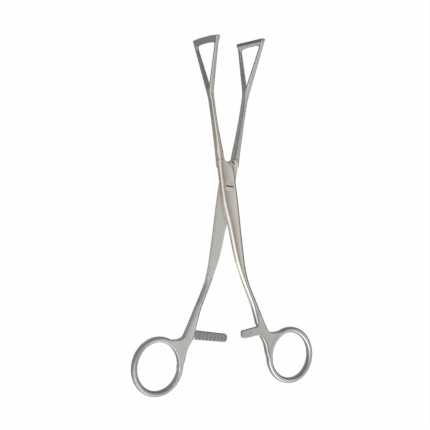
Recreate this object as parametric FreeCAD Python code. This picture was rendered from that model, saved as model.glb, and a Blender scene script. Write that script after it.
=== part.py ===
# Tissue grasping forceps, 20.5 cm, with triangular open jaws, a screwed lap joint and a ratchet.
# Three real pieces: the upper half and the lower half, each one forging, and the joint screw.
#
# Frame: millimetres. The origin is on the pivot axis, in the plane where the two halves lap.
# +Z runs along the pivot to the slotted screw head, +Y to the jaws, +X to the upper half's ring.
#
# Each half is drawn closed, with its jaw just left of the Y axis and its handle right of it.
# The lower half is the same drawing turned half a turn about the Y axis. Both are then
# opened about the pivot to the rest position.
import FreeCAD, Part
import math
import os

V = FreeCAD.Vector
Y_AXIS = V(0, 1, 0)
Z_AXIS = V(0, 0, 1)
ORIGIN = V(0, 0, 0)

# Opening
rest_half_angle = 8.85
jaw_gap_closed = 0.10

# Jaw: a triangular frame that stands across the shank, with a lip along its end
jaw_reach = 87.1
jaw_length = 31.1
jaw_width = 30.6
jaw_end_crown = 0.8
jaw_side_bar = 1.75
jaw_end_bar = 4.1
jaw_outer_at_base = 4.95
jaw_outer_at_end = 2.65
jaw_base_thickness = 3.25
jaw_base_overlap = 8.0
jaw_base_inset = 0.8
jaw_base_round = 3.0
jaw_end_thickness = 2.05
lip_drop = 1.2
lip_height = 1.8
lip_lean = 0.3
lip_blend = 1.8
lip_chamfer = 1.2
window_apex_radius = 1.0
window_corner_radius = 1.6

# Long edges of the shanks: how far a side leans in above and below mid-depth, and how far
# its edge is rounded
side_lean = 0.2
edge_softness = 0.4
edge_steps = 3

# Jaw shank
jaw_shank_depth = 4.5
jaw_shank_width = 3.15
jaw_shank_outer = 4.6
jaw_shank_ridge = 1.15
jaw_shank_outer_edge = 1.0
jaw_root_outer_edge = 1.9
jaw_shank_inner_lean = 1.0
jaw_root_inner = 0.35
jaw_root_inner_lean = 1.5
jaw_neck_length = 6.0
jaw_neck_seat = 1.5

# How the jaw shank tapers to its waist: distance past the joint, share of the taper done
jaw_taper = [(-3.0, 0.0), (2.0, 0.33), (10.0, 0.67), (20.0, 1.0)]

# Lap joint
joint_width = 10.6
joint_depth = 5.2
joint_ridge = 2.3
ear_edge = 1.3
seam_inset = 0.1
joint_upper_reach = 16.0
joint_lower_reach = 8.0
shoulder_distance = 12.77
shoulder_slope = 32.9
shoulder_clearance = 0.25
lap_clearance = 0.03
ear_corner_radius = 1.2
ear_root_x = -0.65

# Joint screw
screw_head_diameter = 5.6
screw_head_depth = 1.2
screw_journal_diameter = 3.8
screw_thread_diameter = 3.2
screw_slot_width = 0.7
screw_slot_depth = 0.6
screw_slot_angle = -14.6
screw_running_clearance = 0.04
screw_thread_clearance = 0.01

# Handle shank and the stem that runs on along the ring. Each station: reach below the pivot,
# inner edge, width, depth, rounding of the inner ridge, rounding of the outer edge
handle_stations = [
    (joint_lower_reach, -joint_width / 2, joint_width, joint_depth, joint_ridge, ear_edge),
    (16.0, -4.45, 9.65, 5.2, 2.3, 1.3),
    (23.0, -3.55, 8.5, 5.1, 2.2, 1.2),
    (32.0, -2.8, 7.6, 4.9, 2.1, 1.2),
    (42.0, -1.9, 6.6, 4.6, 1.9, 1.1),
    (53.0, 0.25, 4.9, 4.0, 1.5, 1.0),
    (62.0, 2.6, 4.2, 3.8, 1.3, 0.9),
    (72.0, 5.3, 4.4, 3.8, 1.3, 0.9),
    (83.5, 7.1, 5.6, 4.0, 1.3, 0.8),
    (91.0, 8.4, 6.7, 4.0, 1.3, 0.8),
    (95.0, 10.2, 5.7, 4.1, 1.4, 0.9),
    (99.0, 11.1, 4.3, 4.2, 1.5, 1.0),
    (103.5, 11.4, 3.5, 4.2, 1.4, 1.3),
    (109.0, 12.1, 2.9, 3.8, 1.2, 1.2)]
cross_reach = 53.0
handle_depth = 3.8
underside_ramp = 8.0

# Finger ring
ring_center_x = 27.8
ring_center_reach = 107.95
ring_hole_width = 25.2
ring_hole_length = 27.6
ring_wall = 3.5
ring_depth = 4.4
ring_sides = 20
crotch_x = 13.9
crotch_softness = 5.5
land_depth = 4.1
land_shift = 0.9
land_margin = 2.8

# Ratchet
ratchet_reach = 88.1
ratchet_inner = 7.2
ratchet_width = 5.2
ratchet_root_depth = 3.2
ratchet_clearance = 0.12
ratchet_upper_tip = 4.0
ratchet_lower_tip = 14.7
ratchet_tip_radius = 1.8
ratchet_taper = 0.15
ratchet_upper_fillet = 1.1
ratchet_root_rise = 3.2
ratchet_root_inset = 1.4
ratchet_lower_fillet = 2.0
ratchet_lower_inset = 1.0
ratchet_lower_drop = 2.6
tooth_pitch = 2.4
tooth_height = 0.55
tooth_crest = 0.3
relief_clearance = 0.5


# Drawing helpers

def point_toward(start, end, distance):
    """The point on the way from start to end, at the given distance from start."""
    way = end - start
    return start + way * (distance / way.Length)


def corner_arc(before, corner, after, reach):
    """The arc that rounds a corner, from its reach before it to its reach after it."""
    begin = point_toward(corner, before, reach)
    end = point_toward(corner, after, reach)
    middle = (begin + end) * 0.5
    half_angle = (before - corner).getAngle(after - corner) / 2
    from_corner = reach / math.cos(half_angle) - reach * math.tan(half_angle)
    return Part.Arc(begin, point_toward(corner, middle, from_corner), end)


def rounded_loop(corners, reaches):
    """A closed wire through the corners, with each one rounded over its reach."""
    count = len(corners)
    edges = []
    for index in range(count):
        corner = corners[index]
        following = corners[(index + 1) % count]
        if reaches[index] > 0:
            edges.append(corner_arc(corners[index - 1], corner, following, reaches[index]).toShape())
        begin = point_toward(corner, following, reaches[index])
        end = point_toward(following, corner, reaches[(index + 1) % count])
        edges.append(Part.LineSegment(begin, end).toShape())
    return Part.Wire(edges)


def prism(wire, start, travel):
    """A solid that starts at the offset and runs along the travel vector."""
    outline = wire.copy()
    outline.translate(start)
    return Part.Face(outline).extrude(travel)


def plan_prism(points, reaches, bottom, top):
    """A prism with an XY outline, between two heights."""
    corners = [V(x, y, 0) for x, y in points]
    return prism(rounded_loop(corners, reaches), V(0, 0, bottom), V(0, 0, top - bottom))


def across_prism(points, reaches, half_width):
    """A prism along X with its outline in the YZ plane, as far to both sides."""
    corners = [V(0, y, z) for y, z in points]
    return prism(rounded_loop(corners, reaches), V(-half_width, 0, 0), V(2 * half_width, 0, 0))


def sharp(points):
    """No softening at any of the points."""
    return [0] * len(points)


def ellipse_prism(center_x, center_y, half_width, half_length, bottom, top):
    """An upright prism with an elliptical plan, its long axis along Y."""
    ellipse = Part.Ellipse(V(center_x, center_y + half_length, bottom),
                           V(center_x + half_width, center_y, bottom),
                           V(center_x, center_y, bottom))
    return Part.Face(Part.Wire([ellipse.toShape()])).extrude(V(0, 0, top - bottom))


def softened(before, corner, after, reach):
    """Points along the curve that rounds a corner, over the same reach on both sides of it."""
    begin = point_toward(corner, before, reach)
    end = point_toward(corner, after, reach)
    points = []
    for step in range(edge_steps + 1):
        share = step / edge_steps
        points.append(begin * (1 - share) ** 2 + corner * (2 * share * (1 - share))
                      + end * share ** 2)
    return points


def shank_section(reach, left, right, depth, left_top, right_top, right_foot, left_foot):
    """The section across a shank at a signed reach, widest at mid-depth.

    Each of the four long edges is given as how far its side leans in up to it, and over how
    far it is rounded.
    """
    half = depth / 2
    left_side = V(left, reach, 0)
    right_side = V(right, reach, 0)
    top_left = V(left + left_top[0], reach, half)
    top_right = V(right - right_top[0], reach, half)
    foot_right = V(right - right_foot[0], reach, -half)
    foot_left = V(left + left_foot[0], reach, -half)
    corners = [left_side]
    corners += softened(left_side, top_left, top_right, left_top[1])
    corners += softened(top_left, top_right, right_side, right_top[1])
    corners += [right_side]
    corners += softened(right_side, foot_right, foot_left, right_foot[1])
    corners += softened(foot_right, foot_left, left_side, left_foot[1])
    return Part.makePolygon(corners + [left_side])


# Jaw

def jaw_frame():
    """The triangular jaw: its side view and its face view meet, and the window is cut out."""
    base_reach = jaw_reach - jaw_length
    start = base_reach - jaw_base_overlap
    lip_tip = -jaw_gap_closed / 2
    lean = (jaw_outer_at_base - jaw_outer_at_end) / jaw_length
    window_end = jaw_reach - jaw_end_bar
    outer_at_window_end = -jaw_outer_at_end - lean * jaw_end_bar
    inner_at_window_end = outer_at_window_end + jaw_end_thickness
    lip_top = jaw_reach - lip_drop
    lip_foot = lip_top - lip_height
    side_view = [(-jaw_outer_at_base + jaw_base_inset, start),
                 (-jaw_outer_at_base, base_reach),
                 (-jaw_outer_at_end, jaw_reach),
                 (lip_tip, lip_top),
                 (lip_tip - lip_lean, lip_foot),
                 (inner_at_window_end, lip_foot - lip_blend),
                 (-jaw_outer_at_base + jaw_base_thickness, base_reach),
                 (-jaw_outer_at_base + jaw_base_thickness - jaw_base_inset, start)]
    side_rounds = [0, jaw_base_round, 0.3, 0.15, 0.4, 1.2, 1.0, 0]
    side = plan_prism(side_view, side_rounds, -jaw_width, jaw_width)

    half_base = jaw_shank_depth / 2
    half_end = jaw_width / 2
    corner_reach = jaw_reach - jaw_end_crown
    crown_peak = corner_reach + 2 * jaw_end_crown
    face_view = [(corner_reach, half_end), (base_reach, half_base),
                 (start, half_base - jaw_base_inset), (start, jaw_base_inset - half_base),
                 (base_reach, -half_base), (corner_reach, -half_end), (crown_peak, 0)]
    face_rounds = [0, jaw_base_round, 0, 0, jaw_base_round, 0, half_end - 0.3]
    face = across_prism(face_view, face_rounds, jaw_width)

    flare = (half_end - half_base) / (corner_reach - base_reach)
    bar_across = jaw_side_bar * math.hypot(1, flare)
    apex = base_reach + (bar_across - half_base) / flare
    window_crown = jaw_end_crown * (1 - bar_across / half_end) ** 2
    window_corner = window_end - window_crown
    window_half = flare * (window_corner - apex)
    window_view = [(apex, 0), (window_corner, window_half),
                   (window_corner + 2 * window_crown, 0), (window_corner, -window_half)]
    crown_round = window_half - window_corner_radius - 0.3
    window_rounds = [window_apex_radius / flare, window_corner_radius, crown_round,
                     window_corner_radius]
    window = across_prism(window_view, window_rounds, jaw_width)
    chamfer_top = window_end + lip_chamfer
    chamfer_start = lip_tip + 0.1
    chamfer_view = [(chamfer_start, chamfer_top),
                    (chamfer_start - 2 * lip_chamfer, chamfer_top - 2 * lip_chamfer),
                    (chamfer_start, chamfer_top - 2 * lip_chamfer)]
    chamfer = plan_prism(chamfer_view, sharp(chamfer_view), window_corner_radius - window_half,
                         window_half - window_corner_radius)
    return side.common(face).cut(window).cut(chamfer)


# Shanks

def jaw_section(reach, outer, inner, depth, ridge, inner_lean, outer_edge):
    """The jaw shank's section: a rounded ridge outside, and a sloping inner side below."""
    return shank_section(reach, -outer, -inner, depth, (side_lean, ridge),
                         (side_lean, edge_softness), (inner_lean, edge_softness),
                         (side_lean, outer_edge))


def between(start, end, share):
    return start + (end - start) * share


def jaw_shank():
    """From inside the joint up to the jaw, with a ridge along its outer edge."""
    base_reach = jaw_reach - jaw_length
    base_inner = jaw_outer_at_base - jaw_base_thickness
    waist_inner = jaw_shank_outer - jaw_shank_width
    sections = []
    for distance, share in jaw_taper:
        sections.append(jaw_section(
            joint_upper_reach + distance,
            between(joint_width / 2 - seam_inset, jaw_shank_outer, share),
            between(jaw_root_inner, waist_inner, share ** 2),
            between(joint_depth - seam_inset / 2, jaw_shank_depth, share),
            between(joint_ridge, jaw_shank_ridge, share),
            between(jaw_root_inner_lean, jaw_shank_inner_lean, share),
            between(jaw_root_outer_edge, jaw_shank_outer_edge, share)))
    sections.append(jaw_section(base_reach - jaw_neck_length, jaw_shank_outer,
                                base_inner + seam_inset, jaw_shank_depth, jaw_shank_ridge,
                                jaw_shank_inner_lean, jaw_shank_outer_edge))
    sections.append(jaw_section(base_reach + jaw_neck_seat, jaw_outer_at_base - seam_inset / 4,
                                base_inner + seam_inset / 4, jaw_shank_depth, jaw_shank_ridge,
                                jaw_shank_inner_lean, jaw_shank_outer_edge))
    return Part.makeLoft(sections, True, False)


def lap_section(reach, inner, width, depth, ridge, outer_edge):
    """A section of the joint or handle: a wide rounded ridge inside, a narrow edge outside."""
    ridge_edge = (side_lean, ridge)
    plain_edge = (side_lean, outer_edge)
    return shank_section(-reach, inner, inner + width, depth, ridge_edge, plain_edge,
                         plain_edge, ridge_edge)


def joint_blank():
    """The wide middle of a half, before the lap is milled."""
    sections = []
    for reach in (-joint_upper_reach, joint_lower_reach):
        sections.append(lap_section(reach, -joint_width / 2, joint_width, joint_depth,
                                    joint_ridge, ear_edge))
    return Part.makeLoft(sections, True, True)


def handle_shank():
    """From the joint down to the ring: wide at the lap, bowed, then slim, then the stem."""
    sections = [lap_section(*station) for station in handle_stations]
    return Part.makeLoft(sections, True, False)


# Finger ring

def ring_sweep(start_angle):
    """Half of the oval bow: a many-sided oval section swept along half an ellipse."""
    center = V(ring_center_x, -ring_center_reach, 0)
    half_width = (ring_hole_width + ring_wall) / 2
    half_length = (ring_hole_length + ring_wall) / 2
    ellipse = Part.Ellipse(center + V(0, half_length, 0), center + V(half_width, 0, 0), center)
    path = Part.ArcOfEllipse(ellipse, start_angle, start_angle + math.pi)
    point = path.StartPoint
    corners = []
    for index in range(ring_sides + 1):
        angle = 2 * math.pi * (index + 0.5) / ring_sides
        corners.append(point + V(0, ring_wall / 2 * math.cos(angle),
                                 ring_depth / 2 * math.sin(angle)))
    section = Part.makePolygon(corners)
    return Part.Wire([path.toShape()]).makePipeShell([section], True, True)


def ring_land():
    """The flat land in the corner between the stem and the ring."""
    half = land_depth / 2
    ring_top = -ring_center_reach + (ring_hole_length + ring_wall) / 2
    ring_left = ring_center_x - (ring_hole_width + ring_wall) / 2
    outline = [(ratchet_inner + 2.0, -ratchet_reach + 12),
               (crotch_x, ring_top + 0.9),
               (ring_center_x + 2.2, ring_top - 0.1),
               (ring_center_x, -ring_center_reach + 8),
               (ring_center_x - 8, -ring_center_reach),
               (ring_left + 0.6, -ring_center_reach - 1.0),
               (ring_left - 0.5, -ring_center_reach + 9.0),
               (ratchet_inner + 3.4, -ratchet_reach - 3.0),
               (ratchet_inner + 1.8, -ratchet_reach + 8.0)]
    reaches = [0, crotch_softness, 0, 0, 0, 0, 3.0, 2.5, 0]
    land = plan_prism(outline, reaches, -half, half)
    hole = ellipse_prism(ring_center_x + land_shift, -ring_center_reach - land_shift,
                         (ring_hole_width + land_margin) / 2,
                         (ring_hole_length + land_margin) / 2, -land_depth, land_depth)
    return land.cut(hole)


# Ratchet

def ratchet_arm(tip_reach):
    """An arm toward the other handle, filleted at its root; its saw teeth face the lap plane."""
    top = land_depth / 2
    tooth_foot = ratchet_clearance + tooth_height
    half = ratchet_width / 2
    root_x = ratchet_inner + ratchet_root_depth
    upper_edge = -ratchet_reach + half + ratchet_taper
    lower_edge = -ratchet_reach - half - ratchet_taper
    outline = [(-tip_reach, lower_edge + 2 * ratchet_taper),
               (ratchet_inner + ratchet_lower_inset, lower_edge),
               (ratchet_inner + ratchet_lower_drop, lower_edge - ratchet_lower_drop),
               (root_x, lower_edge - ratchet_lower_drop),
               (root_x, upper_edge + ratchet_root_rise),
               (ratchet_inner + ratchet_root_inset, upper_edge + ratchet_root_rise),
               (ratchet_inner, upper_edge),
               (-tip_reach, upper_edge - 2 * ratchet_taper)]
    reaches = [ratchet_tip_radius, ratchet_lower_fillet, 0, 0, 0, 0, ratchet_upper_fillet,
               ratchet_tip_radius]
    blank = plan_prism(outline, reaches, ratchet_clearance, top)
    gaps = []
    crest_end = -tip_reach + tooth_pitch
    while crest_end < ratchet_inner + tooth_pitch:
        gap = [V(crest_end, 0, ratchet_clearance - 1),
               V(crest_end, 0, tooth_foot),
               V(crest_end + tooth_pitch - tooth_crest, 0, ratchet_clearance),
               V(crest_end + tooth_pitch - tooth_crest, 0, ratchet_clearance - 1)]
        gaps.append(prism(rounded_loop(gap, sharp(gap)), V(0, -ratchet_reach - ratchet_width, 0),
                          V(0, 2 * ratchet_width, 0)))
        crest_end += tooth_pitch
    return blank.cut(Part.makeCompound(gaps))


def rack_relief():
    """The passage under the upper handle that lets the long lower rack through."""
    inner = ratchet_reach - ratchet_width / 2 - relief_clearance
    outer = math.hypot(ratchet_reach + ratchet_width / 2, ratchet_lower_tip) + relief_clearance
    band = Part.makeCylinder(outer, land_depth, V(0, 0, -land_depth))
    band = band.cut(Part.makeCylinder(inner, land_depth, V(0, 0, -land_depth)))
    window = Part.makeBox(ratchet_lower_tip, 2 * ratchet_width + 10, land_depth,
                          V(ratchet_inner - 4, -outer - 1, -land_depth))
    return band.common(window)


# Lap joint

def lap_recess():
    """What is milled off the underside so that the other half fits: joint and crossing handle."""
    slope = math.radians(shoulder_slope)
    normal = V(-math.sin(slope), math.cos(slope), 0)
    along = V(math.cos(slope), math.sin(slope), 0)
    span = 3 * joint_width
    left = normal * shoulder_distance - along * span
    right = normal * shoulder_distance + along * span
    plan = [(left.x, left.y), (right.x, right.y), (span, -cross_reach), (-span, -cross_reach)]
    floor = plan_prism(plan, sharp(plan), -2 * joint_depth, lap_clearance)
    ramp = [V(0, -cross_reach, lap_clearance),
            V(0, -cross_reach - underside_ramp, -handle_depth / 2 - 0.1),
            V(0, -cross_reach - underside_ramp, -2 * joint_depth),
            V(0, -cross_reach, -2 * joint_depth)]
    ramp_cut = prism(rounded_loop(ramp, sharp(ramp)), V(-span, 0, 0), V(2 * span, 0, 0))
    return floor.fuse(ramp_cut)


def ear_outline():
    """The plan of the joint: its ear ends a clearance short of the other half's shoulder."""
    slope = math.radians(shoulder_slope)
    normal = V(math.sin(slope), math.cos(slope), 0)
    edge_distance = shoulder_distance - shoulder_clearance
    half = joint_width / 2

    def ear_height(x):
        return (edge_distance - normal.x * x) / normal.y

    plan = [(-joint_width, joint_upper_reach + 1),
            (ear_root_x, joint_upper_reach + 1),
            (ear_root_x, ear_height(ear_root_x)),
            (half + 0.02, ear_height(half)),
            (half + 0.02, -joint_lower_reach - 1),
            (-joint_width, -joint_lower_reach - 1)]
    return plan_prism(plan, [0, 0, 0.5, ear_corner_radius, 0, 0], -joint_depth, joint_depth)


def half_blank(arm_tip):
    """One forging, drawn closed, with its lap recess milled; the screw hole comes later."""
    joint = joint_blank().common(ear_outline())
    body = joint.fuse([jaw_shank(), jaw_frame(), handle_shank(), ring_sweep(0),
                       ring_sweep(math.pi), ring_land()])
    body = body.cut(lap_recess())
    return body.fuse(ratchet_arm(arm_tip))


def opened(shape, angle):
    turned = shape.copy()
    turned.rotate(ORIGIN, Z_AXIS, angle)
    return turned


def upper_half():
    """The half on the screw head's side, with the short ratchet arm."""
    body = half_blank(ratchet_upper_tip).cut(rack_relief())
    journal_hole = Part.makeCylinder(screw_journal_diameter / 2 + screw_running_clearance,
                                     joint_depth, V(0, 0, -joint_depth / 2))
    head_seat = joint_depth / 2 - screw_head_depth
    head_hole = Part.makeCylinder(screw_head_diameter / 2 + screw_running_clearance,
                                  joint_depth, V(0, 0, head_seat))
    body = body.cut(journal_hole.fuse(head_hole))
    return opened(body, rest_half_angle)


def lower_half():
    """The half that the screw is fixed in, with the long rack."""
    body = half_blank(ratchet_lower_tip)
    thread_hole = Part.makeCylinder(screw_thread_diameter / 2 + screw_thread_clearance,
                                    2 * joint_depth, V(0, 0, -joint_depth))
    body = body.cut(thread_hole)
    body.rotate(ORIGIN, Y_AXIS, 180)
    return opened(body, -rest_half_angle)


def joint_screw():
    """Slotted head, a journal that the upper half turns on, and the end fixed in the lower."""
    top = joint_depth / 2
    head_seat = top - screw_head_depth + lap_clearance
    head = Part.makeCylinder(screw_head_diameter / 2, top - head_seat, V(0, 0, head_seat))
    journal_foot = -lap_clearance
    journal = Part.makeCylinder(screw_journal_diameter / 2, head_seat - journal_foot,
                                V(0, 0, journal_foot))
    end = Part.makeCylinder(screw_thread_diameter / 2, top + journal_foot, V(0, 0, -top))
    slot = Part.makeBox(2 * screw_head_diameter, screw_slot_width, screw_slot_depth + 1,
                        V(-screw_head_diameter, -screw_slot_width / 2, top - screw_slot_depth))
    slot.rotate(ORIGIN, Z_AXIS, screw_slot_angle)
    return head.fuse([journal, end]).removeSplitter().cut(slot)


def main():
    os.makedirs("parts", exist_ok=True)
    pieces = {"upper_half": upper_half(),
              "lower_half": lower_half(),
              "joint_screw": joint_screw()}
    for name, shape in pieces.items():
        solid = shape.Solids[0] if len(shape.Solids) == 1 else shape
        solid.exportStep("parts/" + name + ".step")
        box = shape.BoundBox
        print(name, "solids", len(shape.Solids), "valid", shape.isValid(),
              "volume", round(shape.Volume, 1),
              "box", [round(value, 2) for value in (box.XMin, box.YMin, box.ZMin,
                                                    box.XMax, box.YMax, box.ZMax)])


main()
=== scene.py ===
# Tissue grasping forceps of satin stainless steel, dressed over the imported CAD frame.
# Metres, in the frame's own axes: +Y to the jaws, +Z along the pivot to the screw head.
import math

import bmesh
import bpy
from mathutils import Matrix, Vector


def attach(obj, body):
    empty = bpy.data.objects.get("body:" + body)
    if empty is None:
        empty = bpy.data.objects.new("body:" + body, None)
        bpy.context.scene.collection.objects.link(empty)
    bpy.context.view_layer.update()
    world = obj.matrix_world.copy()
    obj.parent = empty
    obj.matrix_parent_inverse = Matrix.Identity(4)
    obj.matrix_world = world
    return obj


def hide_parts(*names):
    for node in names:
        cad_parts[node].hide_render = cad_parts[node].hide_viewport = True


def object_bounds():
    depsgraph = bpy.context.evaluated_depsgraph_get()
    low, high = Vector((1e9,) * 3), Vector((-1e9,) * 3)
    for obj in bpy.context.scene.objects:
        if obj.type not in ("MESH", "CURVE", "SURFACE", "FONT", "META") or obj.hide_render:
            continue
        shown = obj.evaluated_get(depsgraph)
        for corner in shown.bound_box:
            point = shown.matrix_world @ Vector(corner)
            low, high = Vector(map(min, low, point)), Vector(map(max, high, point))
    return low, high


mm = 0.001

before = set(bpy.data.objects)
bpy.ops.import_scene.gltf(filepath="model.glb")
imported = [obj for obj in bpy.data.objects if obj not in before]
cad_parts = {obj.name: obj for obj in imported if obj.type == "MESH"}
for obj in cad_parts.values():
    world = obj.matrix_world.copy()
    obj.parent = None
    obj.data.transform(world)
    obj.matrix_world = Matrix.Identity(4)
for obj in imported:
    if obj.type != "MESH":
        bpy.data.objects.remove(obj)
cad_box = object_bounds()
scene = bpy.context.scene
scene.view_settings.view_transform = "Standard"


# Camera: above the forceps and to their left, looking down, far enough away that the left ring
# looks only slightly larger than the right one.
camera_azimuth = math.radians(-28.0)
camera_height = math.radians(2.16)
camera_roll = math.radians(0.49)
camera_place = Vector((-275.43, 4.71, 505.22)) * mm

camera_data = bpy.data.cameras.new("camera")
camera_data.sensor_width = 36.0
camera_data.lens = 82.53
camera_data.shift_x = -0.0041
camera_data.shift_y = 0.0005
camera_data.clip_start = 0.05
camera = bpy.data.objects.new("camera", camera_data)
camera.matrix_world = (Matrix.Translation(camera_place)
                       @ Matrix.Rotation(camera_azimuth, 4, "Y")
                       @ Matrix.Rotation(-camera_height, 4, "X")
                       @ Matrix.Rotation(camera_roll, 4, "Z"))
scene.collection.objects.link(camera)
scene.camera = camera


# Table top: a white sheet just under the jaws' lower corners. The camera sees it white, the
# steel mirrors hardly any of that white, and its grey paper takes the forceps' soft shadow.
table_gap = 0.3 * mm
table_half_size = 3.0
table_height = cad_box[0][2] - table_gap
paper_grey = 0.50
white_to_camera = 0.985
white_in_steel = 0.05


class Socket:
    """A shader socket that adds its own Math nodes when it meets + - * / and numbers."""

    def __init__(self, tree, link):
        self.tree = tree
        self.link = link

    def math(self, operation, *values):
        node = self.tree.nodes.new("ShaderNodeMath")
        node.operation = operation
        for index, value in enumerate(values):
            if isinstance(value, Socket):
                self.tree.links.new(value.link, node.inputs[index])
            else:
                node.inputs[index].default_value = value
        return Socket(self.tree, node.outputs[0])

    def __add__(self, other):
        return self.math("ADD", self, other)

    __radd__ = __add__

    def __sub__(self, other):
        return self.math("SUBTRACT", self, other)

    def __rsub__(self, other):
        return self.math("SUBTRACT", other, self)

    def __mul__(self, other):
        return self.math("MULTIPLY", self, other)

    __rmul__ = __mul__

    def __truediv__(self, other):
        return self.math("DIVIDE", self, other)

    def clamp(self):
        return self.math("MINIMUM", self.math("MAXIMUM", self, 0.0), 1.0)


class Shader:
    """A material's or world's node tree; node() adds any node and sets it up."""

    def __init__(self, tree):
        self.tree = tree
        tree.nodes.clear()

    def node(self, kind, settings=None, **inputs):
        node = self.tree.nodes.new(kind)
        for name, value in (settings or {}).items():
            if name == "stops":
                ramp = node.color_ramp
                while len(ramp.elements) < len(value):
                    ramp.elements.new(0.5)
                for element, (position, color) in zip(ramp.elements, value):
                    element.position = position
                    element.color = color
            else:
                setattr(node, name, value)
        for name, value in inputs.items():
            socket = self.input(node, name)
            if isinstance(value, Socket):
                self.tree.links.new(value.link, socket)
            else:
                socket.default_value = value
        return node

    def input(self, node, name):
        """The input of that name; Vector_1 means the second input called Vector."""
        wanted = name.rstrip("_0123456789").replace("_", " ").lower()
        order = name[len(name.rstrip("0123456789")):]
        matches = [socket for socket in node.inputs
                   if socket.name.lower() == wanted and socket.enabled]
        return matches[int(order) if order else 0]

    def out(self, node, name):
        return Socket(self.tree, next(socket for socket in node.outputs
                                      if socket.name == name and socket.enabled))


table_mesh = bpy.data.meshes.new("table_top")
table_shape = bmesh.new()
bmesh.ops.create_grid(table_shape, x_segments=1, y_segments=1, size=table_half_size,
                      matrix=Matrix.Translation((0, 0, table_height)))
table_shape.to_mesh(table_mesh)
table_shape.free()
table_top = bpy.data.objects.new("table_top", table_mesh)
scene.collection.objects.link(table_top)

white_sheet = bpy.data.materials.new("white_sheet")
white_sheet.use_nodes = True
shader = Shader(white_sheet.node_tree)
paper = shader.node("ShaderNodeBsdfDiffuse", Color=(paper_grey, paper_grey, paper_grey, 1))
glow = shader.node("ShaderNodeEmission", Color=(1, 1, 1, 1), Strength=1.0)
rays = shader.node("ShaderNodeLightPath")
mirrored = shader.out(rays, "Is Glossy Ray") + shader.out(rays, "Is Transmission Ray")
seen_part = white_to_camera * shader.out(rays, "Is Camera Ray") + white_in_steel * mirrored
sheet = shader.node("ShaderNodeMixShader", Fac=seen_part)
shader.tree.links.new(shader.out(paper, "BSDF").link, sheet.inputs[1])
shader.tree.links.new(shader.out(glow, "Emission").link, sheet.inputs[2])
shader.node("ShaderNodeOutputMaterial", Surface=shader.out(sheet, "Shader"))
table_mesh.materials.append(white_sheet)


# Light: a pale studio, with one long soft strip up on the left that draws the bright line
# along every ridge. The stops of the room and the strip run from the left wall, at 0, over
# the top to the right wall, at 1; those along it run from the handles' end to the jaws' end.
# A soft lamp stands low at the left beyond the handles, and a wide one shines from their end.
room_light = 3.75
room_stops = [(0.00, 0.08), (0.10, 0.12), (0.20, 0.16), (0.40, 0.15), (0.455, 0.14),
              (0.53, 0.12), (0.60, 0.20), (0.66, 0.31), (0.74, 0.46), (0.79, 0.42),
              (0.85, 0.08), (1.00, 0.04)]
room_along = [(0.00, 0.90), (0.16, 0.55), (0.30, 0.66), (0.45, 0.72), (0.52, 0.66),
              (0.57, 0.48), (0.75, 0.38), (1.00, 0.15)]
strip_light = 1.9
strip_stops = [(0.15, 0.0), (0.21, 0.75), (0.30, 1.0), (0.39, 0.85), (0.455, 0.0)]
strip_along = [(0.00, 0.90), (0.26, 1.00), (0.36, 0.84), (0.41, 0.70), (0.45, 0.53),
               (0.49, 0.43), (0.55, 0.22), (0.65, 0.16), (1.00, 0.10)]
corner_light = 0.9
corner_way = (-0.70, -0.65, 0.30)
corner_sharpness = 18.0
handles_end_light = 1.0
handles_end_from = 0.68
handles_end_full = 0.90


def profile(shader, stops, way):
    """How bright the light is at each place along a way that runs from 0 to 1."""
    greys = [(position, (level, level, level, 1)) for position, level in stops]
    return shader.out(shader.node("ShaderNodeValToRGB", {"stops": greys}, Fac=way), "Color")


room = bpy.data.worlds.new("room")
scene.world = room
room.use_nodes = True
shader = Shader(room.node_tree)
way = shader.node("ShaderNodeTexCoord")
split = shader.node("ShaderNodeSeparateXYZ", Vector=shader.out(way, "Generated"))
turn = shader.out(split, "X").math("ARCTAN2", shader.out(split, "X"), shader.out(split, "Z"))
round_way = turn / math.pi + 0.5
along_way = 0.5 * shader.out(split, "Y") + 0.5
handles_end = ((-1.0 * shader.out(split, "Y") - handles_end_from)
               / (handles_end_full - handles_end_from)).clamp()
toward_corner = shader.out(
    shader.node("ShaderNodeVectorMath", {"operation": "DOT_PRODUCT"},
                Vector_0=shader.out(way, "Generated"), Vector_1=corner_way), "Value")
corner = toward_corner.math("POWER", toward_corner.clamp(), corner_sharpness)
from_room = profile(shader, room_stops, round_way) * profile(shader, room_along, along_way)
from_strip = profile(shader, strip_stops, round_way) * profile(shader, strip_along, along_way)
brightness = (room_light * from_room + strip_light * from_strip
              + corner_light * corner + handles_end_light * handles_end)
rays = shader.node("ShaderNodeLightPath")
seen = shader.out(rays, "Is Camera Ray")
strength = brightness * (1 - seen) + seen
background = shader.node("ShaderNodeBackground", Color=(1, 1, 1, 1), Strength=strength)
shader.node("ShaderNodeOutputWorld", Surface=shader.out(background, "Background"))


# Satin stainless steel, the material of both halves and the screw: ground along its length and
# polished to a soft sheen. It is a warm grey round the joint and a neutral grey toward the rings
# and the jaws' ends, and it has a fine grain and faint cloudy patches. On top of that, light and
# shade are painted in: the jaws' ends are painted darker, and each piece can be painted lighter
# or darker all over and in boxes.
neutral_grey = (0.582, 0.577, 0.558)
warm_grey = (0.612, 0.565, 0.518)
warm_half_length = 75 * mm
warm_middle = 1.35
grain_pitch = 0.50 * mm
grain_stretch = (1.0, 0.04, 1.0)
grain_relief = 0.002 * mm
grain_strength = 0.25
grain_shade = 0.05
grain_matter = 0.06
cloud_scale = 90.0
cloud_shade = 0.14
cloud_matter = 0.08
# Painted shade: toward the jaws' ends the steel is painted up to 17% darker.
jaw_painted_shade = 0.17
jaw_from = 50 * mm
jaw_fade = 12 * mm
ring_from = -55 * mm
ring_fade = 25 * mm


def patch(low_corner, high_corner, edge, darker=0.0, matter=0.0):
    """A box of the steel that is painted darker, or lighter where darker is below zero, as
    painted shade or light, and made more matt, fading in over its edge.
    """
    return low_corner, high_corner, edge, darker, matter


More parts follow.
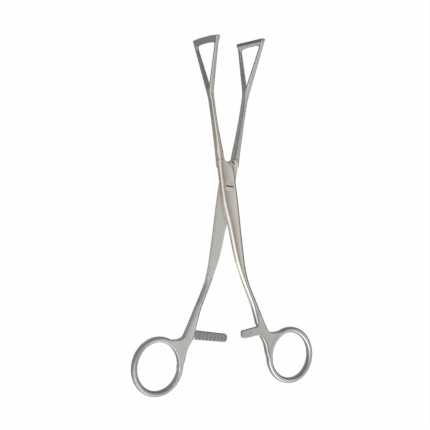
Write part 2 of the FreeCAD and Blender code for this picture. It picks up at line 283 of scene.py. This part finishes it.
def satin_finish(name, roughness, painted_brightness=1.0, warm_share=1.0, ring_matter=0.0, patches=()):
    steel = bpy.data.materials.new(name)
    steel.use_nodes = True
    shader = Shader(steel.node_tree)
    place = shader.node("ShaderNodeTexCoord")
    along = shader.node("ShaderNodeMapping", Vector=shader.out(place, "Object"),
                        Scale=grain_stretch)
    grain = shader.node("ShaderNodeTexNoise", Vector=shader.out(along, "Vector"),
                        Scale=1.0 / grain_pitch, Detail=1.0, Roughness=0.5)
    clouds = shader.node("ShaderNodeTexNoise", Vector=shader.out(place, "Object"),
                         Scale=cloud_scale, Detail=2.0, Roughness=0.5)
    axes = shader.node("ShaderNodeSeparateXYZ", Vector=shader.out(place, "Object"))
    reach = shader.out(axes, "Y")
    grain_amount = shader.out(grain, "Fac") - 0.5
    cloud_amount = shader.out(clouds, "Fac") - 0.5
    distance = reach.math("ABSOLUTE", reach)
    warmth = (warm_middle - distance / warm_half_length + cloud_amount).clamp()
    tint = shader.node("ShaderNodeMix", {"data_type": "RGBA"}, Factor=warm_share * warmth,
                       A=(*neutral_grey, 1), B=(*warm_grey, 1))
    jaw_shade_share = ((reach - jaw_from) / jaw_fade).clamp()
    ring_share = ((ring_from - reach) / ring_fade).clamp()
    mottled = 1 + grain_shade * grain_amount + cloud_shade * cloud_amount
    # Painted light and shade: the whole piece is painted lighter by its brightness factor, and
    # the jaws' ends darker.
    shade = painted_brightness * (mottled * (1 - jaw_painted_shade * jaw_shade_share))
    matt = (roughness + ring_matter * ring_share + grain_matter * grain_amount
            + cloud_matter * cloud_amount)
    # Each patch paints shade into the colour, or light where its darker value is below zero.
    for low_corner, high_corner, edge, darker, matter in patches:
        inside = 1.0
        for axis, low, high in zip("XYZ", low_corner, high_corner):
            spot = shader.out(axes, axis)
            inside = ((spot - low) / edge).clamp() * ((high - spot) / edge).clamp() * inside
        shade = shade * (1 - darker * inside)
        matt = matt + matter * inside
    toned = shader.node("ShaderNodeVectorMath", {"operation": "SCALE"},
                        Vector=shader.out(tint, "Result"), Scale=shade)
    relief = shader.node("ShaderNodeBump", Height=shader.out(grain, "Fac"),
                         Strength=grain_strength, Distance=grain_relief)
    surface = shader.node("ShaderNodeBsdfPrincipled", Base_Color=shader.out(toned, "Vector"),
                          Metallic=1.0, Roughness=matt, Normal=shader.out(relief, "Normal"))
    shader.node("ShaderNodeOutputMaterial", Surface=shader.out(surface, "BSDF"))
    return steel


# Upper half: one drop forging, from the left jaw over the joint to the right-hand ring. Its
# edges are rounded as grinding leaves them, by rebuilding the CAD solid's skin finely and
# relaxing it, most of all along the bars and rings. Fine grooves cross the jaw's lip.
weld_distance = 0.001 * mm
skin_pitch = 0.256 * mm
relax_share = 0.5
relax_steps = 4
bar_relax_steps = 10
relaxed_bars = ((22 * mm, 90 * mm), (-125 * mm, -45 * mm))
crown_relax_steps = 2
crown = 0.32 * mm
crowned_reach = (-78 * mm, 46 * mm)
crown_fade = 8 * mm
crown_most = 1.5
flat_facing = 0.95
crown_facing = 0.2
slice_pitch = 1.0 * mm
evened_slices = 4
narrowest_flat = 2.5 * mm
ramp_start = -51.5 * mm
ramp_length = 17.0 * mm
ramp_top = -50.0 * mm
lip_half_height = 1.5 * mm
lip_facing = 0.8
groove_pitch = 1.2 * mm
groove_depth = 0.22 * mm


def relaxed(shape, verts, steps):
    for step in range(steps):
        bmesh.ops.smooth_vert(shape, verts=verts, factor=relax_share,
                              use_axis_x=True, use_axis_y=True, use_axis_z=True)


def crowned(shape, side):
    """Grinds the flat top, side 1, or underside, -1, of the bars slightly round across."""
    slices = {}
    for vert in shape.verts:
        if vert.normal.z * side > flat_facing and vert.co.z * side > 0:
            slices.setdefault(round(vert.co.y / slice_pitch), []).append(vert.co.x)
    edges = {}
    for place in slices:
        near = [slices[other] for other in range(place - evened_slices, place + evened_slices + 1)
                if other in slices]
        edges[place] = Vector((sum(min(flat) for flat in near) / len(near),
                               sum(max(flat) for flat in near) / len(near)))
    for vert in shape.verts:
        place = math.floor(vert.co.y / slice_pitch)
        if vert.normal.z * side < crown_facing or place not in edges or place + 1 not in edges:
            continue
        low, high = edges[place].lerp(edges[place + 1], vert.co.y / slice_pitch - place)
        across = (2 * vert.co.x - low - high) / max(high - low, narrowest_flat)
        fade = min((vert.co.y - crowned_reach[0]) / crown_fade,
                   (crowned_reach[1] - vert.co.y) / crown_fade)
        vert.co.z -= side * crown * min(across * across, crown_most) * min(max(fade, 0), 1)


def ramped(shape, side):
    """Grinds the step where the handle grows past its lapped face into a long ramp."""
    for vert in shape.verts:
        if vert.co.z * side > 0 and ramp_start - ramp_length < vert.co.y < ramp_top:
            share = max(min((ramp_start - vert.co.y) / ramp_length, 1), 0)
            vert.co.z *= share * share * (3 - 2 * share)


def grooved(shape, lip_place, lip_way):
    """Cuts the fine grooves that cross the face of the jaw's lip."""
    lip_face = [vert for vert in shape.verts
                if abs((vert.co - lip_place).dot(lip_way)) < lip_half_height
                and vert.normal.dot(lip_way) > lip_facing]
    for vert in lip_face:
        wave = 0.5 - 0.5 * math.cos(2 * math.pi * vert.co.z / groove_pitch)
        vert.co -= groove_depth * wave * lip_way


def even_skin(node, name):
    """The CAD half's skin, rebuilt from small even faces."""
    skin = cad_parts[node].data.copy()
    shape = bmesh.new()
    shape.from_mesh(skin)
    bmesh.ops.remove_doubles(shape, verts=shape.verts, dist=weld_distance)
    shape.to_mesh(skin)
    shape.free()
    draft = bpy.data.objects.new(name + "_draft", skin)
    scene.collection.objects.link(draft)
    rebuild = draft.modifiers.new("rebuild", "REMESH")
    rebuild.mode = "VOXEL"
    rebuild.voxel_size = skin_pitch
    graph = bpy.context.evaluated_depsgraph_get()
    mesh = bpy.data.meshes.new_from_object(draft.evaluated_get(graph))
    bpy.data.objects.remove(draft)
    mesh.name = name
    return mesh


def ground_forging(node, name, body, finish, lip_place, lip_way, lapped_side,
                   sharp_low, sharp_high):
    """One finished half; the box between the sharp corners is relaxed less than the rest."""
    mesh = even_skin(node, name)
    shape = bmesh.new()
    shape.from_mesh(mesh)
    ramped(shape, lapped_side)
    relaxed(shape, shape.verts, relax_steps)
    bars = [vert for vert in shape.verts
            if any(start < vert.co.y < end for start, end in relaxed_bars)
            and not all(low < place < high for low, place, high
                        in zip(sharp_low, vert.co, sharp_high))]
    relaxed(shape, bars, bar_relax_steps)
    shape.normal_update()
    crowned(shape, 1)
    crowned(shape, -1)
    relaxed(shape, shape.verts, crown_relax_steps)
    shape.normal_update()
    grooved(shape, lip_place, lip_way)
    for face in shape.faces:
        face.smooth = True
    shape.to_mesh(mesh)
    shape.free()
    mesh.materials.clear()
    mesh.materials.append(finish)
    piece = bpy.data.objects.new(name, mesh)
    scene.collection.objects.link(piece)
    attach(piece, body)
    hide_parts(node)


upper_lip = Vector((-13.26, 84.86, 0.0)) * mm
upper_lip_way = Vector((0.9881, 0.1538, 0.0))
arm_low = Vector((6.0, -96.0, -3.0)) * mm
arm_high = Vector((17.5, -82.0, 3.0)) * mm
land_shade_low = Vector((4.0, -106.0, -6.0)) * mm
land_shade_high = Vector((38.0, -78.0, 6.0)) * mm
upper_jaw_low = Vector((-30.0, 52.0, -18.0)) * mm
upper_jaw_high = Vector((-4.0, 95.0, 18.0)) * mm
# Painted light: the joint is painted 9% lighter, on the upper half and the screw alike.
joint_light_low = Vector((-9.0, -22.0, -6.0)) * mm
joint_light_high = Vector((9.0, 20.0, 6.0)) * mm
joint_painted_light = patch(joint_light_low, joint_light_high, edge=6.0 * mm, darker=-0.09)
# Painted shade: the short arm is painted 10% darker and the land by the ring 12% darker; the jaw
# is only made more matt.
upper_steel = satin_finish("satin_steel", roughness=0.30, patches=[
    patch(arm_low, arm_high, edge=2.0 * mm, darker=0.10, matter=0.05),
    patch(land_shade_low, land_shade_high, edge=4.0 * mm, darker=0.12),
    joint_painted_light,
    patch(upper_jaw_low, upper_jaw_high, edge=5.0 * mm, matter=0.14)])
ground_forging("upper_half", "upper_forging", "upper", upper_steel,
               upper_lip, upper_lip_way, -1, arm_low, arm_high)


# Lower half: the same forging turned over, from the right jaw beneath the joint to the left-hand
# ring, with the long rack in place of the short arm. It is a little more matt and painted lighter
# all over, a painted light. Its rack, lip face, jaw and ring are painted darker, painted shade,
# and the slope below the lip is painted bright, a painted highlight.
lower_lip = Vector((13.26, 84.86, 0.0)) * mm
lower_lip_way = Vector((-0.9881, 0.1538, 0.0))
# Painted shade: the rack is painted at half the brightness of the steel.
rack_low = Vector((-20.5, -94.0, -2.5)) * mm
rack_high = Vector((2.0, -82.5, 2.5)) * mm
# Painted shade: the left-hand ring is painted 24% darker.
ring_shade_low = Vector((-70.0, -128.0, -9.0)) * mm
ring_shade_high = Vector((-34.0, -88.0, 9.0)) * mm
# Painted shade: the lip's gripping face is painted 35% darker.
grip_shade_low = Vector((6.0, 83.0, -18.0)) * mm
grip_shade_high = Vector((20.0, 90.0, 18.0)) * mm
# Painted highlight: the slope below the lip is painted twice as bright as the steel.
slope_highlight_low = Vector((6.0, 81.2, -13.5)) * mm
slope_highlight_high = Vector((20.0, 83.3, 13.5)) * mm
# Painted shade: the jaw is painted 6% darker as well as more matt.
lower_jaw_shade_low = Vector((4.0, 52.0, -18.0)) * mm
lower_jaw_shade_high = Vector((30.0, 95.0, 18.0)) * mm
# Painted light: the whole lower half is painted 18% lighter than the upper one.
lower_steel = satin_finish("matt_satin_steel", roughness=0.40, painted_brightness=1.18,
                           warm_share=0.3, ring_matter=0.04, patches=[
    patch(rack_low, rack_high, edge=0.6 * mm, darker=0.50),
    patch(grip_shade_low, grip_shade_high, edge=0.5 * mm, darker=0.35, matter=0.05),
    patch(slope_highlight_low, slope_highlight_high, edge=0.4 * mm, darker=-1.00),
    patch(lower_jaw_shade_low, lower_jaw_shade_high, edge=5.0 * mm, darker=0.06, matter=0.08),
    patch(ring_shade_low, ring_shade_high, edge=6.0 * mm, darker=0.24, matter=0.05)])
ground_forging("lower_half", "lower_forging", "lower", lower_steel,
               lower_lip, lower_lip_way, 1, rack_low, rack_high)


# Joint screw: turned from bar, slotted, and ground flush with the upper half, so closely that
# only the slot shows. Its slot is painted dark, a painted shade, and a crescent below it is
# painted lighter, a painted highlight. Its journal carries the upper half and its end is fast in
# the lower. Each ring is a radius and a height in mm, from the head down.
# Painted shade: the slot is painted 68% darker inside.
slot_shade_low = Vector((-4.0, -4.0, 1.0)) * mm
slot_shade_high = Vector((4.0, 4.0, 2.60)) * mm
# Painted highlight: a crescent below the slot is painted 18% lighter.
crescent_highlight_low = Vector((-2.2, -2.9, 1.0)) * mm
crescent_highlight_high = Vector((2.2, -0.7, 4.2)) * mm
screw_steel = satin_finish("screw_steel", roughness=0.30, patches=[
    patch(slot_shade_low, slot_shade_high, edge=0.05 * mm, darker=0.68, matter=0.20),
    joint_painted_light,
    patch(crescent_highlight_low, crescent_highlight_high, edge=0.5 * mm, darker=-0.18)])
screw_rings = [(3.30, 2.61), (3.30, 2.50), (2.80, 2.40), (2.80, 1.45), (1.9, 1.45),
               (1.9, -0.05), (1.6, -0.05), (1.6, -2.6)]
screw_top = screw_rings[0][1] * mm
slot_half_width = 0.38 * mm
slot_half_length = 2.6 * mm
slot_depth = 0.9 * mm
slot_turn = math.radians(-7.1)
screw_sides = 72
same_height = 0.01 * mm

shape = bmesh.new()
bmesh.ops.create_circle(shape, cap_ends=True, segments=screw_sides,
                        radius=screw_rings[0][0] * mm,
                        matrix=Matrix.Translation((0, 0, screw_top)))
along_slot = Vector((math.cos(slot_turn), math.sin(slot_turn), 0))
across_slot = Vector((-math.sin(slot_turn), math.cos(slot_turn), 0))
for way, distance in ((across_slot, slot_half_width), (along_slot, slot_half_length)):
    for side in (-1, 1):
        bmesh.ops.bisect_plane(shape, geom=shape.verts[:] + shape.edges[:] + shape.faces[:],
                               plane_co=(side * distance) * way + Vector((0, 0, screw_top)),
                               plane_no=way)
ring = [edge for edge in shape.edges if edge.is_boundary]
for (radius, height), (next_radius, next_height) in zip(screw_rings, screw_rings[1:]):
    grown = bmesh.ops.extrude_edge_only(shape, edges=ring)["geom"]
    ring = [item for item in grown if isinstance(item, bmesh.types.BMEdge)]
    moved = [item for item in grown if isinstance(item, bmesh.types.BMVert)]
    bmesh.ops.scale(shape, verts=moved,
                    vec=(next_radius / radius, next_radius / radius, 1.0))
    bmesh.ops.translate(shape, verts=moved, vec=(0, 0, (next_height - height) * mm))
bmesh.ops.edgeloop_fill(shape, edges=ring)
head_faces = [face for face in shape.faces
              if abs(face.calc_center_median().z - screw_top) < same_height]
floor_face = min(head_faces, key=lambda face: face.calc_center_median().length)
sunk = bmesh.ops.extrude_face_region(shape, geom=[floor_face])["geom"]
bmesh.ops.delete(shape, geom=[floor_face], context="FACES_ONLY")
floor_verts = [item for item in sunk if isinstance(item, bmesh.types.BMVert)]
bmesh.ops.translate(shape, verts=floor_verts, vec=(0, 0, -slot_depth))
bmesh.ops.recalc_face_normals(shape, faces=shape.faces)
screw_mesh = bpy.data.meshes.new("slotted_screw")
shape.to_mesh(screw_mesh)
shape.free()
screw_mesh.materials.append(screw_steel)
slotted_screw = bpy.data.objects.new("slotted_screw", screw_mesh)
scene.collection.objects.link(slotted_screw)
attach(slotted_screw, "lower")
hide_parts("joint_screw")
